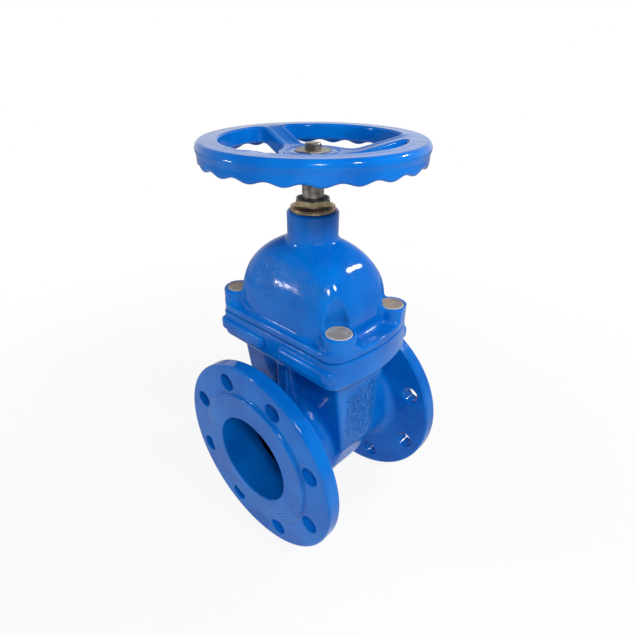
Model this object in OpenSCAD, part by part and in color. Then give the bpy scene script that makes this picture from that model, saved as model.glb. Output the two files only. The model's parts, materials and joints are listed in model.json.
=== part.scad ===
// Resilient seated gate valve, flanged, closed gate.
// Origin at the centre of the inlet flange's sealing face, X along the pipe, Z up the stem.

/* [Pipe flanges] */
// face to face length along the pipe
face_to_face = 190; // [160:1:240]
// outside diameter of both pipe flanges
flange_d = 220; // [210:1:250]
// flange thickness with its raised face
flange_t = 19; // [16:0.5:26]
// raised face diameter
raised_d = 156; // [140:1:158]
// raised face height
raised_h = 3; // [1:0.5:4]
// bolt circle diameter
bolt_circle_d = 180; // [175:1:190]
// bolts in each flange
bolt_count = 8; // [4:1:12]
// bolt hole diameter
bolt_hole_d = 19; // [14:0.5:22]
// bore of the waterway
bore_d = 100; // [80:1:104]

/* [Gate chamber] */
// chamber thickness along the pipe below the joint plate
chest_x = 78; // [66:1:84]
// chamber thickness along the pipe at the pipe axis
chest_low_x = 54; // [52:0.5:64]
// chamber width across the pipe beyond the gate's pocket
chest_side = 15.3; // [12:0.1:18]
// radius of the chamber's upright corners
chest_corner_r = 4; // [2:0.5:16]
// wall of the chamber's round bottom
chest_wall = 6.6; // [5:0.2:10]
// thickness of the upright rib on each side
rib_y = 14; // [8:0.5:20]
// reach of the ribs from the stem axis
rib_x = 47; // [40:1:56]
// pocket for the gate, along the pipe
pocket_x = 42; // [35:0.5:46]
// reach of the gate's pocket beyond the bore
pocket_side = 4; // [3:0.5:6]
// wall of the pipe necks
neck_wall = 7; // [5:0.5:9]

/* [Bonnet joint] */
// joint plate size along the pipe
plate_x = 116; // [110:1:130]
// joint plate size across the pipe
plate_y = 177; // [172:1:190]
// how far the plates' ends bulge over their width
plate_bulge = 11; // [4:0.5:14]
// corner radius of the bonnet's plate
plate_corner_r = 18; // [12:0.5:24]
// corner radius of the body's plate
body_corner_r = 10; // [4:0.5:24]
// height of the joint above the pipe axis
joint_z = 140; // [134:1:150]
// thickness of the body's plate
body_plate_t = 28; // [20:1:32]
// thickness of the bonnet's plate
bonnet_plate_t = 8; // [6:0.5:12]
// gasket thickness
gasket_t = 1; // [0.5:0.1:2]
// screw spacing along the pipe
screw_x = 78; // [74:1:84]
// screw spacing across the pipe
screw_y = 138; // [134:1:146]
// screw boss diameter
boss_d = 32; // [30:0.2:34]
// height of the screw bosses above the bonnet's plate
boss_h = 14.5; // [13:0.5:20]
// wax plug diameter
plug_d = 25; // [20:0.2:27]

/* [Bonnet dome] */
// height of the dome's upright foot
dome_foot_h = 9; // [4:0.5:14]
// dome half size along the pipe
dome_x = 52; // [46:1:54]
// dome half size across the pipe
dome_y = 70.5; // [66:0.5:72]
// height of the dome's round part
dome_h = 70; // [60:1:80]
// corner radius of the dome in plan
dome_corner_r = 32; // [24:1:40]
// corner radius of the room inside the dome
room_corner_r = 40; // [30:1:44]
// flare of the dome's foot over its plate
dome_foot = 3; // [0:0.5:5]
// wall of the dome
dome_wall = 7; // [5:0.5:9]
// bonnet neck diameter
bonnet_neck_d = 48.5; // [46:0.5:56]
// height of the bonnet neck above the dome
bonnet_neck_h = 22; // [16:0.5:30]

/* [Gland and stem] */
// stem diameter
stem_d = 20; // [18:0.5:24]
// gland base ring diameter
gland_ring_d = 41.5; // [38:0.5:44]
// gland hexagon across flats
gland_hex = 30.6; // [30.2:0.2:34]
// height of the gland above the neck
gland_h = 10.7; // [8:0.1:14]
// wiper ring diameter
wiper_d = 28.4; // [27:0.2:28.6]

/* [Handwheel] */
// handwheel diameter
wheel_d = 197; // [180:1:240]
// bare stem below the hub
stem_show = 14.8; // [8:0.2:30]
// height of the hub
hub_h = 24; // [20:1:34]
// height of the rim with its grip waves
rim_h = 20; // [14:1:26]
// width of the rim outside the openings
rim_w = 18.5; // [14:0.5:24]
// depth of the dish from rim to hub
wheel_dish = 12; // [6:0.5:14]
// hub diameter
hub_d = 44; // [36:1:48]
// waves round the grip
wave_count = 22; // [12:1:30]
// width of each spoke
spoke_w = 21; // [16:1:40]

/* [Travel] */
// lift of the gate for one turn of the wheel
thread_pitch = 5; // [4:0.5:6]
// turns from closed to open
turns = 21; // [18:1:22]

/* [Hidden] */
$fn = 64;
stem_x = face_to_face / 2;
stem_clear = 0.05;      // radial running clearance of the stem
fixed_clear = 0.05;     // radial clearance of pieces screwed together
gate_clear = 0.6;       // clearance of the rubber gate in its pocket
slice_t = 0.01;         // thickness of the slices a hull is drawn through
end_t = 0.5;            // how far a cut runs past a face

// chamber
neck_d = bore_d + 2 * neck_wall;
pocket_r = bore_d / 2 + pocket_side;
chest_y = 2 * (pocket_r + chest_side);
chest_low_r = pocket_r + chest_wall;
chest_low_z = 10;       // level where the chamber's sides meet its round bottom
plate_under = 12;       // height of the taper below the body's plate
plate_low_z = joint_z - body_plate_t;
rib_sink = 7;           // depth of a rib's foot in the neck
rib_low_z = neck_d / 2 - rib_sink;
bar_up = 8;             // bars on the sides of the body's plate, above its underside
bar_z = plate_low_z + bar_up;
bar_h = 12.5;
bar_y = 62;
bar_gap = 24;
bar_out = 4;
guide_deep = 5.5;       // depth of the gate's two guide slots
guide_y = 2 * (pocket_r + guide_deep);
guide_slot_x = 16;

// bonnet
bonnet_z = joint_z + gasket_t;
ledge_z = bonnet_z + bonnet_plate_t;
boss_top_z = ledge_z + boss_h;
dome_z = ledge_z + dome_foot_h;
bonnet_neck_z = dome_z + dome_h + bonnet_neck_h;
tool_clear = 1.2;       // room round a plug hole where it runs up the dome
tool_d = plug_d + 2 * tool_clear;
boss_wall = 6.7;        // solid left round a boss inside the bonnet
hole_under = 2;         // depth of a screw hole below its screw
screw_d = 12;
screw_head_d = 18;
screw_up = 6;           // end of a screw above the body plate's underside
screw_low_z = plate_low_z + screw_up;
screw_seat_z = ledge_z - 1;

// stem, gland and wheel
collar_out = 6;         // step from the stem to its thrust collar
collar_d = stem_d + 2 * collar_out;
collar_h = 6;
collar_deep = 23;       // depth of the collar's seat below the bonnet's neck
collar_z = bonnet_neck_z - collar_deep;
thrust_t = 1;
gland_wall = 2;         // step from the collar to the gland's body
gland_body_d = collar_d + 2 * gland_wall;
gland_low_z = collar_z + collar_h + thrust_t;
gland_seat = 1.5;       // depth of the gland's seat in the neck
wiper_seat = 3;         // depth of the wiper ring's seat
wiper_h = 0.5;          // height of the wiper ring above the gland
hub_low_z = bonnet_neck_z + gland_h + wiper_h + stem_show;
hub_top_z = hub_low_z + hub_h;
wheel_top_z = hub_top_z + wheel_dish;
web_t = 8;              // thickness of the wheel's disc
skirt_t = 6;            // thickness of the wheel's grip
wheel_seat = 1.5;       // shoulder on the stem under the hub
wheel_bore_d = stem_d - 2 * wheel_seat;
washer_lap = 7.5;       // reach of the washer past the hub's bore
washer_d = wheel_bore_d + 2 * washer_lap;
washer_t = 2;
bolt_hex = 13;
bolt_head_h = 5.3;
bolt_d = 8;
bolt_deep = 16;         // reach of the bolt below the hub's top
bolt_low_z = hub_top_z - bolt_deep;

// gate
lift = thread_pitch * turns;
stem_over = 10;         // end of the stem above the pocket's round part
stem_low_z = pocket_r + stem_over;
rubber_t = 4;           // rubber on the gate
core_x = pocket_x - 2 * (gate_clear + rubber_t);
nut_wall = 2;           // iron on each side of the stem's nut
nut_d = core_x - 2 * nut_wall;
nut_h = 20;
nut_up = 2;             // the nut's underside above the stem's end
nut_low_z = stem_low_z + nut_up;
stem_room_d = (stem_d + nut_d) / 2;
stem_room_under = 5;    // room below the stem's end with the gate up
gate_side_z = pocket_r - 2;
nut_over = 6;           // the nut's top above the gate's head
gate_top_z = nut_low_z + nut_h - nut_over;

module at_stem() {
    translate([stem_x, 0, 0]) children();
}

// the four round corners of a plate centred on the stem axis
module corners(x, y, r, h) {
    for (i = [-1, 1])
        for (j = [-1, 1])
            translate([i * (x / 2 - r), j * (y / 2 - r), 0]) cylinder(h = h, r = r);
}

// a rounded rectangle plate with exact corners
module plate(x, y, r, h) {
    translate([-x / 2 + r, -y / 2, 0]) cube([x - 2 * r, y, h]);
    translate([-x / 2, -y / 2 + r, 0]) cube([x, y - 2 * r, h]);
    corners(x, y, r, h);
}

// a joint plate: its ends are wide arcs, exact like its corners
module joint_plate(x, y, r, h) {
    end_r = (pow(x / 2, 2) + pow(plate_bulge, 2)) / (2 * plate_bulge);
    corner_x = x / 2 - r;
    corner_y = y / 2 - end_r + sqrt(pow(end_r - r, 2) - pow(corner_x, 2));
    meet_x = corner_x * end_r / (end_r - r);
    intersection() {
        translate([-meet_x, -y / 2, 0]) cube([2 * meet_x, y, h]);
        translate([0, end_r - y / 2, 0]) cylinder(h = h, r = end_r, $fn = 256);
        translate([0, y / 2 - end_r, 0]) cylinder(h = h, r = end_r, $fn = 256);
    }
    translate([-x / 2, -corner_y, 0]) cube([x, 2 * corner_y, h]);
    corners(x, 2 * (corner_y + r), r, h);
}

module along_pipe(x) {
    translate([x, 0, 0]) rotate([0, 90, 0]) children();
}

// one pipe flange with its raised face at x = 0, pointing to -X
module pipe_flange() {
    edge_r = 2.5;
    blend_x = 16;
    root_d = neck_d + 18;
    along_pipe(0)
        rotate_extrude()
            polygon([
                [0, 0],
                [raised_d / 2, 0],
                [raised_d / 2, raised_h],
                [flange_d / 2 - edge_r, raised_h],
                [flange_d / 2, raised_h + edge_r],
                [flange_d / 2, flange_t - edge_r],
                [flange_d / 2 - edge_r, flange_t],
                [root_d / 2, flange_t],
                [neck_d / 2, flange_t + blend_x],
                [neck_d / 2, stem_x - pocket_x / 2],
                [0, stem_x - pocket_x / 2]
            ]);
}

module flange_holes() {
    for (i = [0 : bolt_count - 1])
        rotate([360 / bolt_count * (i + 0.5), 0, 0])
            translate([-end_t, 0, bolt_circle_d / 2])
                rotate([0, 90, 0])
                    cylinder(h = flange_t + 2 * end_t, d = bolt_hole_d);
}

module screw_places() {
    for (i = [-1, 1])
        for (j = [-1, 1])
            translate([i * screw_x / 2, j * screw_y / 2, 0]) children();
}

module chest() {
    chest_top_z = plate_low_z - plate_under;
    hull() {
        rotate([0, 90, 0]) cylinder(h = chest_low_x, r = chest_low_r, center = true);
        translate([0, 0, chest_low_z])
            corners(chest_low_x, chest_y, chest_corner_r, slice_t, $fn = 32);
        translate([0, 0, chest_top_z])
            corners(chest_x, chest_y, chest_corner_r, slice_t, $fn = 32);
    }
    hull() {
        translate([0, 0, chest_top_z])
            corners(chest_x, chest_y, chest_corner_r, slice_t, $fn = 32);
        translate([0, 0, plate_low_z])
            joint_plate(plate_x, plate_y, body_corner_r, slice_t, $fn = 32);
    }
    translate([0, 0, plate_low_z])
        joint_plate(plate_x, plate_y, body_corner_r, body_plate_t);
    translate([-rib_x, -rib_y / 2, rib_low_z])
        cube([2 * rib_x, rib_y, plate_low_z - rib_low_z + end_t]);
    for (j = [-1, 1])
        translate([0, j * (bar_gap + bar_y) / 2, bar_z + bar_h / 2])
            cube([plate_x + 2 * bar_out, bar_y, bar_h], center = true);
}

module body() {
    color("royalblue")
        difference() {
            union() {
                pipe_flange();
                translate([face_to_face, 0, 0]) mirror([1, 0, 0]) pipe_flange();
                at_stem() chest();
            }
            along_pipe(-end_t) cylinder(h = face_to_face + 2 * end_t, d = bore_d);
            flange_holes();
            translate([face_to_face, 0, 0]) mirror([1, 0, 0]) flange_holes();
            at_stem() {
                rotate([0, 90, 0]) cylinder(h = pocket_x, r = pocket_r, center = true);
                translate([-pocket_x / 2, -pocket_r, 0])
                    cube([pocket_x, 2 * pocket_r, joint_z + end_t]);
                translate([-guide_slot_x / 2, -guide_y / 2, 0])
                    cube([guide_slot_x, guide_y, joint_z + end_t]);
                screw_places()
                    translate([0, 0, screw_low_z - hole_under])
                        cylinder(h = joint_z, d = screw_d + 2 * fixed_clear);
            }
        }
}

// a dome as slices of a rounded rectangle under an elliptic arch, from low_z up
module dome(x, y, h, r, foot, low_z) {
    slices = 9;
    last_a = 88;
    hull() {
        translate([0, 0, low_z])
            corners(2 * (x + foot), 2 * (y + foot), r + foot, slice_t, $fn = 32);
        for (k = [0 : slices]) {
            a = last_a * k / slices;
            s = cos(a);
            translate([0, 0, dome_z + h * sin(a)])
                corners(2 * x * s, 2 * y * s, r * s, slice_t, $fn = 32);
        }
    }
}

module bonnet() {
    neck_low_z = dome_z + dome_h / 2;
    color("royalblue")
        at_stem()
            difference() {
                union() {
                    translate([0, 0, bonnet_z])
                        joint_plate(plate_x, plate_y, plate_corner_r, bonnet_plate_t);
                    difference() {
                        dome(
                            dome_x, dome_y, dome_h, dome_corner_r,
                            dome_foot, ledge_z - 2 * end_t
                        );
                        screw_places()
                            translate([0, 0, boss_top_z]) cylinder(h = dome_h, d = tool_d);
                    }
                    screw_places()
                        translate([0, 0, bonnet_z])
                            cylinder(h = boss_top_z - bonnet_z, d = boss_d);
                    translate([0, 0, neck_low_z])
                        cylinder(h = bonnet_neck_z - neck_low_z, d = bonnet_neck_d);
                }
                difference() {
                    dome(
                        dome_x - dome_wall, dome_y - dome_wall, dome_h - dome_wall,
                        room_corner_r, 0, bonnet_z - 2 * end_t
                    );
                    screw_places() cylinder(h = bonnet_neck_z, d = boss_d + 2 * boss_wall);
                }
                translate([0, 0, dome_z])
                    cylinder(h = bonnet_neck_z, d = stem_d + 2 * stem_clear);
                translate([0, 0, collar_z - stem_clear])
                    cylinder(h = bonnet_neck_z, d = gland_body_d + 2 * fixed_clear);
                translate([0, 0, bonnet_neck_z - gland_seat])
                    cylinder(h = bonnet_neck_z, d = gland_ring_d + 2 * fixed_clear);
                screw_places() {
                    translate([0, 0, bonnet_z - end_t])
                        cylinder(h = bonnet_neck_z, d = screw_d + 2 * fixed_clear);
                    translate([0, 0, screw_seat_z])
                        cylinder(h = bonnet_neck_z, d = plug_d + 2 * fixed_clear);
                }
            }
}

module bonnet_gasket() {
    inset = 1.5;
    color("dimgray")
        at_stem()
            translate([0, 0, joint_z])
                difference() {
                    joint_plate(
                        plate_x - 2 * inset, plate_y - 2 * inset,
                        plate_corner_r - inset, gasket_t
                    );
                    translate([0, 0, -end_t])
                        plate(
                            2 * (dome_x - dome_wall), 2 * (dome_y - dome_wall),
                            room_corner_r, gasket_t + 2 * end_t
                        );
                    screw_places()
                        translate([0, 0, -end_t])
                            cylinder(h = gasket_t + 2 * end_t, d = screw_d + 2 * fixed_clear);
                }
}

// a socket head screw, its head down in the boss
module socket_screw(i, j) {
    socket_hex = 10;
    socket_h = 6;
    color("silver")
        at_stem()
            translate([i * screw_x / 2, j * screw_y / 2, 0])
                difference() {
                    union() {
                        translate([0, 0, screw_low_z])
                            cylinder(h = screw_seat_z - screw_low_z, d = screw_d);
                        translate([0, 0, screw_seat_z]) cylinder(h = screw_d, d = screw_head_d);
                    }
                    translate([0, 0, screw_seat_z + screw_d - socket_h])
                        cylinder(h = socket_h + end_t, d = socket_hex / cos(30), $fn = 6);
                }
}

// the wax that seals a screw's recess
module wax_plug(i, j) {
    color("tan")
        at_stem()
            translate([i * screw_x / 2, j * screw_y / 2, 0])
                difference() {
                    translate([0, 0, screw_seat_z])
                        cylinder(h = boss_top_z - screw_seat_z, d = plug_d);
                    translate([0, 0, screw_seat_z - end_t])
                        cylinder(
                            h = screw_d + end_t + fixed_clear,
                            d = screw_head_d + 2 * fixed_clear
                        );
                }
}

module gland_nut() {
    ring_h = 5;
    hex_turn = 43.5;
    ring_z = bonnet_neck_z - gland_seat;
    top_z = bonnet_neck_z + gland_h;
    color("goldenrod")
        at_stem()
            difference() {
                union() {
                    translate([0, 0, gland_low_z])
                        cylinder(h = ring_z - gland_low_z, d = gland_body_d);
                    translate([0, 0, ring_z]) cylinder(h = ring_h, d = gland_ring_d);
                    translate([0, 0, ring_z])
                        rotate(hex_turn)
                            cylinder(h = top_z - ring_z, d = gland_hex / cos(30), $fn = 6);
                }
                cylinder(h = top_z + end_t, d = stem_d + 2 * stem_clear);
                translate([0, 0, top_z - wiper_seat])
                    cylinder(h = gland_h, d = wiper_d + 2 * fixed_clear);
            }
}

module wiper_ring() {
    top_z = bonnet_neck_z + gland_h;
    color("black")
        at_stem()
            difference() {
                translate([0, 0, top_z - wiper_seat])
                    cylinder(h = wiper_seat + wiper_h, d = wiper_d);
                cylinder(h = top_z + wiper_h + end_t, d = stem_d + 2 * stem_clear);
            }
}

module thrust_ring() {
    color("ivory")
        at_stem()
            translate([0, 0, collar_z + collar_h + stem_clear])
                difference() {
                    cylinder(h = thrust_t - stem_clear, d = collar_d);
                    translate([0, 0, -end_t])
                        cylinder(h = thrust_t + 2 * end_t, d = stem_d + 2 * stem_clear);
                }
}

module stem() {
    top_gap = 1;
    color("silver")
        at_stem()
            difference() {
                union() {
                    translate([0, 0, stem_low_z])
                        cylinder(h = hub_low_z - stem_low_z, d = stem_d);
                    translate([0, 0, collar_z]) cylinder(h = collar_h, d = collar_d);
                    translate([0, 0, hub_low_z])
                        cylinder(h = hub_top_z - top_gap - hub_low_z, d = wheel_bore_d);
                }
                translate([0, 0, bolt_low_z - hole_under])
                    cylinder(h = hub_top_z, d = bolt_d + 2 * fixed_clear);
            }
}

// one opening of the wheel between two spokes, about the +X axis
module wheel_opening() {
    gap_low_r = hub_d / 2 + 9;
    gap_r = wheel_d / 2 - rim_w;
    corner_r = 8;
    tip_x = spoke_w / 2 / sin(60);
    offset(r = corner_r, $fn = 32)
        offset(delta = -corner_r)
            intersection() {
                difference() {
                    circle(gap_r, $fn = 96);
                    circle(gap_low_r);
                }
                translate([tip_x, 0])
                    polygon([
                        [0, 0],
                        [wheel_d, wheel_d * tan(60)],
                        [wheel_d * 2, 0],
                        [wheel_d, -wheel_d * tan(60)]
                    ]);
            }
}

module handwheel() {
    edge_r = 3;
    flat_r = hub_d / 2 + 16;
    rise_r = wheel_d / 2 - rim_w - 2;
    wave_d = 36;
    wave_depth = 2.8;
    wave_turn = 6.5;
    opening_turn = 14;
    r = wheel_d / 2;
    low_z = wheel_top_z - rim_h;
    color("royalblue")
        at_stem()
            difference() {
                union() {
                    rotate_extrude()
                        polygon([
                            [0, hub_top_z],
                            [flat_r, hub_top_z],
                            [rise_r, wheel_top_z],
                            [r - edge_r, wheel_top_z],
                            [r - edge_r / 3, wheel_top_z - edge_r / 3],
                            [r, wheel_top_z - edge_r],
                            [r, low_z],
                            [r - skirt_t, low_z],
                            [r - skirt_t, wheel_top_z - web_t],
                            [rise_r, wheel_top_z - web_t],
                            [flat_r, hub_top_z - web_t],
                            [0, hub_top_z - web_t]
                        ]);
                    translate([0, 0, hub_low_z]) cylinder(h = hub_top_z - hub_low_z, d = hub_d);
                }
                for (i = [0 : 2])
                    rotate(opening_turn + 120 * i)
                        translate([0, 0, low_z - end_t])
                            linear_extrude(rim_h + 2 * end_t) wheel_opening();
                translate([0, 0, hub_low_z - end_t])
                    cylinder(h = hub_top_z, d = wheel_bore_d + 2 * fixed_clear);
                for (i = [0 : wave_count - 1])
                    rotate(wave_turn + 360 / wave_count * i)
                        translate([r - 2 * skirt_t, 0, low_z - wave_d / 2 + wave_depth])
                            rotate([0, 90, 0]) cylinder(h = 3 * skirt_t, d = wave_d);
            }
}

module wheel_washer() {
    color("silver")
        at_stem()
            translate([0, 0, hub_top_z])
                difference() {
                    cylinder(h = washer_t, d = washer_d);
                    translate([0, 0, -end_t])
                        cylinder(h = washer_t + 2 * end_t, d = bolt_d + 2 * fixed_clear);
                }
}

module wheel_bolt() {
    head_z = hub_top_z + washer_t;
    color("silver")
        at_stem() {
            translate([0, 0, bolt_low_z]) cylinder(h = head_z - bolt_low_z, d = bolt_d);
            translate([0, 0, head_z])
                cylinder(h = bolt_head_h, d = bolt_hex / cos(30), $fn = 6);
        }
}

// the gate's outline: round below, square above
module gate_shape(x, r, top_z) {
    rotate([0, 90, 0]) cylinder(h = x, r = r, center = true);
    translate([-x / 2, -r, 0]) cube([x, 2 * r, top_z]);
}

module gate_rubber() {
    r = pocket_r - gate_clear;
    x = pocket_x - 2 * gate_clear;
    guide_x = guide_slot_x - 2 * gate_clear;
    guide_w = guide_y - 2 * gate_clear;
    guide_z = 2;
    guide_h = 44;
    color("black")
        at_stem()
            difference() {
                union() {
                    gate_shape(x, r, gate_side_z);
                    translate([-guide_x / 2, -guide_w / 2, guide_z])
                        cube([guide_x, guide_w, guide_h]);
                }
                gate_shape(core_x, r - rubber_t, gate_top_z);
            }
}

module gate_core() {
    r = pocket_r - gate_clear - rubber_t;
    head_y = 44;
    color("dimgray")
        at_stem()
            difference() {
                union() {
                    gate_shape(core_x, r, gate_side_z);
                    translate([-core_x / 2, -head_y / 2, 0])
                        cube([core_x, head_y, gate_top_z]);
                }
                translate([0, 0, stem_low_z - lift - stem_room_under])
                    cylinder(h = 2 * lift, d = stem_room_d);
                translate([0, 0, nut_low_z])
                    cylinder(h = nut_h, d = nut_d);
            }
}

module stem_nut() {
    color("peru")
        at_stem()
            difference() {
                translate([0, 0, nut_low_z])
                    cylinder(h = nut_h, d = nut_d - 2 * fixed_clear);
                translate([0, 0, nut_low_z - end_t])
                    cylinder(h = nut_h + 2 * end_t, d = stem_d + 2 * stem_clear);
            }
}

body();
bonnet();
bonnet_gasket();
socket_screw(-1, -1);  // bonnet_screw_1
socket_screw(1, -1);  // bonnet_screw_2
socket_screw(1, 1);  // bonnet_screw_3
socket_screw(-1, 1);  // bonnet_screw_4
wax_plug(-1, -1);  // wax_plug_1
wax_plug(1, -1);  // wax_plug_2
wax_plug(1, 1);  // wax_plug_3
wax_plug(-1, 1);  // wax_plug_4
gland_nut();
wiper_ring();
thrust_ring();
stem();
handwheel();
wheel_washer();
wheel_bolt();
gate_core();
gate_rubber();
stem_nut();
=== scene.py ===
import json
import math

import bpy
import numpy as np
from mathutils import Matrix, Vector


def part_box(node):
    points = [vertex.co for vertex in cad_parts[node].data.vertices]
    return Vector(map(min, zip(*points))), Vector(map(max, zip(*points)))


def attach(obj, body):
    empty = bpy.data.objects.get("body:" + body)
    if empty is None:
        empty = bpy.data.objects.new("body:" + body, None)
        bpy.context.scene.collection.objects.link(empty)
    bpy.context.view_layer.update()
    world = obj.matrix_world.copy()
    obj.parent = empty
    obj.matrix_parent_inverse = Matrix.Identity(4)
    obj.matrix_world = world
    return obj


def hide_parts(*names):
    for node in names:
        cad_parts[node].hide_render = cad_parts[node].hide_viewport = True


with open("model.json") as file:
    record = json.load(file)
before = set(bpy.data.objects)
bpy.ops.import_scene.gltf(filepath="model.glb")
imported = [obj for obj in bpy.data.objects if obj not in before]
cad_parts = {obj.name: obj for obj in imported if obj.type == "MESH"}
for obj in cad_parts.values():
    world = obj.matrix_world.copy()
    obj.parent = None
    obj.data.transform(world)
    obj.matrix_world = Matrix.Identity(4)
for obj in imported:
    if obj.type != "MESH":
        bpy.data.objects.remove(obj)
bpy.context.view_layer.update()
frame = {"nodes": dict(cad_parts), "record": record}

nodes = frame["nodes"]
mounts = {mount["name"]: mount for mount in frame["record"]["mounts"]}
scene = bpy.context.scene
mm = 1000.0  # shapes are worked out in millimetres, meshes are in metres
print("frame loaded with", len(nodes), "nodes")


def nodeBox(name):
    low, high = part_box(name)
    return np.array(low) * mm, np.array(high) * mm


bodyLow, bodyHigh = nodeBox("body")
bonnetLow, bonnetHigh = nodeBox("bonnet")
wheelLow, wheelHigh = nodeBox("handwheel")
stemLow, stemHigh = nodeBox("stem")
waxLow, waxHigh = nodeBox("wax_plug_3")
glandLow, glandHigh = nodeBox("gland_nut")
wiperLow, wiperHigh = nodeBox("wiper_ring")
washerLow, washerHigh = nodeBox("wheel_washer")
boltLow, boltHigh = nodeBox("wheel_bolt")
stemX = (stemLow[0] + stemHigh[0]) / 2
waxR = (waxHigh[0] - waxLow[0]) / 2
waxX = waxHigh[0] - waxR - stemX
waxY = waxHigh[1] - waxR
plateX = (bonnetHigh[0] - bonnetLow[0]) / 2
plateY = nodeBox("bonnet_gasket")[1][1] + 1.5  # the gasket stops that much inside the plates
flangeEnd = (bodyHigh[0] - bodyLow[0]) / 2
bolts = mounts["inlet_bolts"]["dims"]

# Bores that another piece runs or sits in, and the play left round what sits in one.
fit = {
    "play": 0.05,
    "stemR": 10.05,
    "screwR": 6.05,
    "glandR": 18.05,
    "glandDeep": 23,
    "seatR": 20.8,
    "seatDeep": 1.5,
}


# A shape is a field: a function of x, y and z that is negative inside and counts millimetres.
# In the pieces' fields, u and w are how far a point is from the stem, along and across the pipe,
# rad is how far it is from the stem's axis, and pipeR how far from the pipe's. A bare number beside
# a level sinks one shape into the next, or takes a hole past its end: it only has to be enough.

def length(*parts):
    return np.sqrt(sum(part * part for part in parts))


def softJoin(a, b, r):  # both together, with a fillet of radius r in the corner
    return np.maximum(r, np.minimum(a, b)) - length(np.maximum(r - a, 0), np.maximum(r - b, 0))


def softMeet(a, b, r):  # only where both are, with an edge of radius r
    return np.minimum(-r, np.maximum(a, b)) + length(np.maximum(r + a, 0), np.maximum(r + b, 0))


def softCut(a, b, r):  # a without b
    return softMeet(a, -b, r)


def slab(c, low, high):  # between two parallel planes
    return np.maximum(low - c, c - high)


def roundRect(a, b, halfA, halfB, r):
    qa = np.abs(a) - halfA + r
    qb = np.abs(b) - halfB + r
    return length(np.maximum(qa, 0), np.maximum(qb, 0)) + np.minimum(np.maximum(qa, qb), 0) - r


def bulged(u, w, halfU, halfW, bulge, r):  # a plate with straight sides and arcs for ends
    endR = (halfU ** 2 + bulge ** 2) / (2 * bulge)
    middle = halfW - endR
    cornerU = halfU - r
    cornerW = middle + np.sqrt(np.maximum((endR - r) ** 2 - cornerU ** 2, 0))
    plain = np.maximum(u - halfU, length(u, w - middle) - endR)
    inCorner = (w > cornerW) & (u * (cornerW - middle) > (w - middle) * cornerU)
    return np.where(inCorner, length(u - cornerU, w - cornerW) - r, plain)


def folded(turn, pitch):  # the same angle in each sector, measured from the sector's middle
    return (turn + pitch / 2) % pitch - pitch / 2


def hexagon(a, b, across):
    return length(a, b) * np.cos(folded(np.arctan2(b, a), math.pi / 3)) - across / 2


def twoCircles(across, along, gap, rA, rB):  # the hull of a circle at 0 and one at gap
    across = np.abs(across)
    slope = (rA - rB) / gap
    flat = math.sqrt(1 - slope * slope)
    k = along * flat - across * slope
    side = across * flat + along * slope - rA
    return np.where(k < 0, length(across, along) - rA,
                    np.where(k > flat * gap, length(across, along - gap) - rB, side))


def dome(u, w, z, halfU, halfW, height, level):  # a squarish dome with an upright foot
    a = (u / halfU) ** 2
    b = (w / halfW) ** 2
    plan = np.sqrt(np.sqrt(a * a + b * b)) + 1e-9
    rise = np.maximum(z - level, 0) / height
    whole = length(plan, rise)
    slope = length(a * np.abs(u), b * np.abs(w) * (halfU / halfW) ** 2) / halfU ** 2 / plan ** 2
    steep = length(slope, rise / height) / whole
    return (whole - 1) / np.maximum(steep, 0.004)


def skin(field, low, high, step):  # the field's surface as quads, with a point in each cell it crosses
    # It starts 1.7 steps outside low, so that a flat face at low falls between two planes.
    axes = [np.arange(low[k] - 1.7 * step, high[k] + 2.5 * step, step) for k in range(3)]
    y, z = np.meshgrid(axes[1], axes[2], indexing="ij")
    inside = np.stack([field(np.full_like(y, x), y, z) < 0 for x in axes[0]])
    count = np.zeros([n - 1 for n in inside.shape], np.int8)
    for i in (0, 1):
        for j in (0, 1):
            for k in (0, 1):
                count += inside[i:i - 1 or None, j:j - 1 or None, k:k - 1 or None]
    cells = np.argwhere((count > 0) & (count < 8))
    index = np.full(count.shape, -1, np.int64)
    index[tuple(cells.T)] = np.arange(len(cells))
    points = np.stack([axes[k][cells[:, k]] + step / 2 for k in range(3)], 1)
    quads = []
    for d in range(3):
        u, v = (d + 1) % 3, (d + 2) % 3
        change = np.diff(inside.astype(np.int8), axis=d)
        for turn in (-1, 1):
            at = np.argwhere(change == turn)
            ring = []
            for du, dv in ((-1, -1), (0, -1), (0, 0), (-1, 0)):
                cell = at.copy()
                cell[:, u] += du
                cell[:, v] += dv
                ring.append(index[tuple(cell.T)])
            quads.append(np.stack(ring[::-turn], 1))
    return points, np.concatenate(quads)


def slopeOf(field, p, reach=0.05):  # the field's gradient, from points reach to each side
    grad = np.empty_like(p)
    for k in range(3):
        a, b = p.copy(), p.copy()
        a[:, k] += reach
        b[:, k] -= reach
        grad[:, k] = (field(*a.T) - field(*b.T)) / (2 * reach)
    return grad


def settle(field, p, rounds, most):  # moves points onto the field's surface, up to most a round
    for _ in range(rounds):
        grad = slopeOf(field, p)
        size = np.maximum((grad * grad).sum(1), 0.05)
        move = -grad * (field(*p.T) / size)[:, None]
        far = np.maximum(np.sqrt((move * move).sum(1)) / most, 1)
        p = p + move / far[:, None]
    return p


def relax(points, quads, share):  # moves each point part of the way to its neighbours' middle
    total = np.zeros_like(points)
    ends = np.concatenate([quads[:, [k, (k + 1) % 4]] for k in range(4)])
    count = np.bincount(ends.ravel(), minlength=len(points))
    for k in range(3):
        total[:, k] = np.bincount(ends[:, 0], points[ends[:, 1], k], len(points))
        total[:, k] += np.bincount(ends[:, 1], points[ends[:, 0], k], len(points))
    return points + share * (total / count[:, None] - points)


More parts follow.
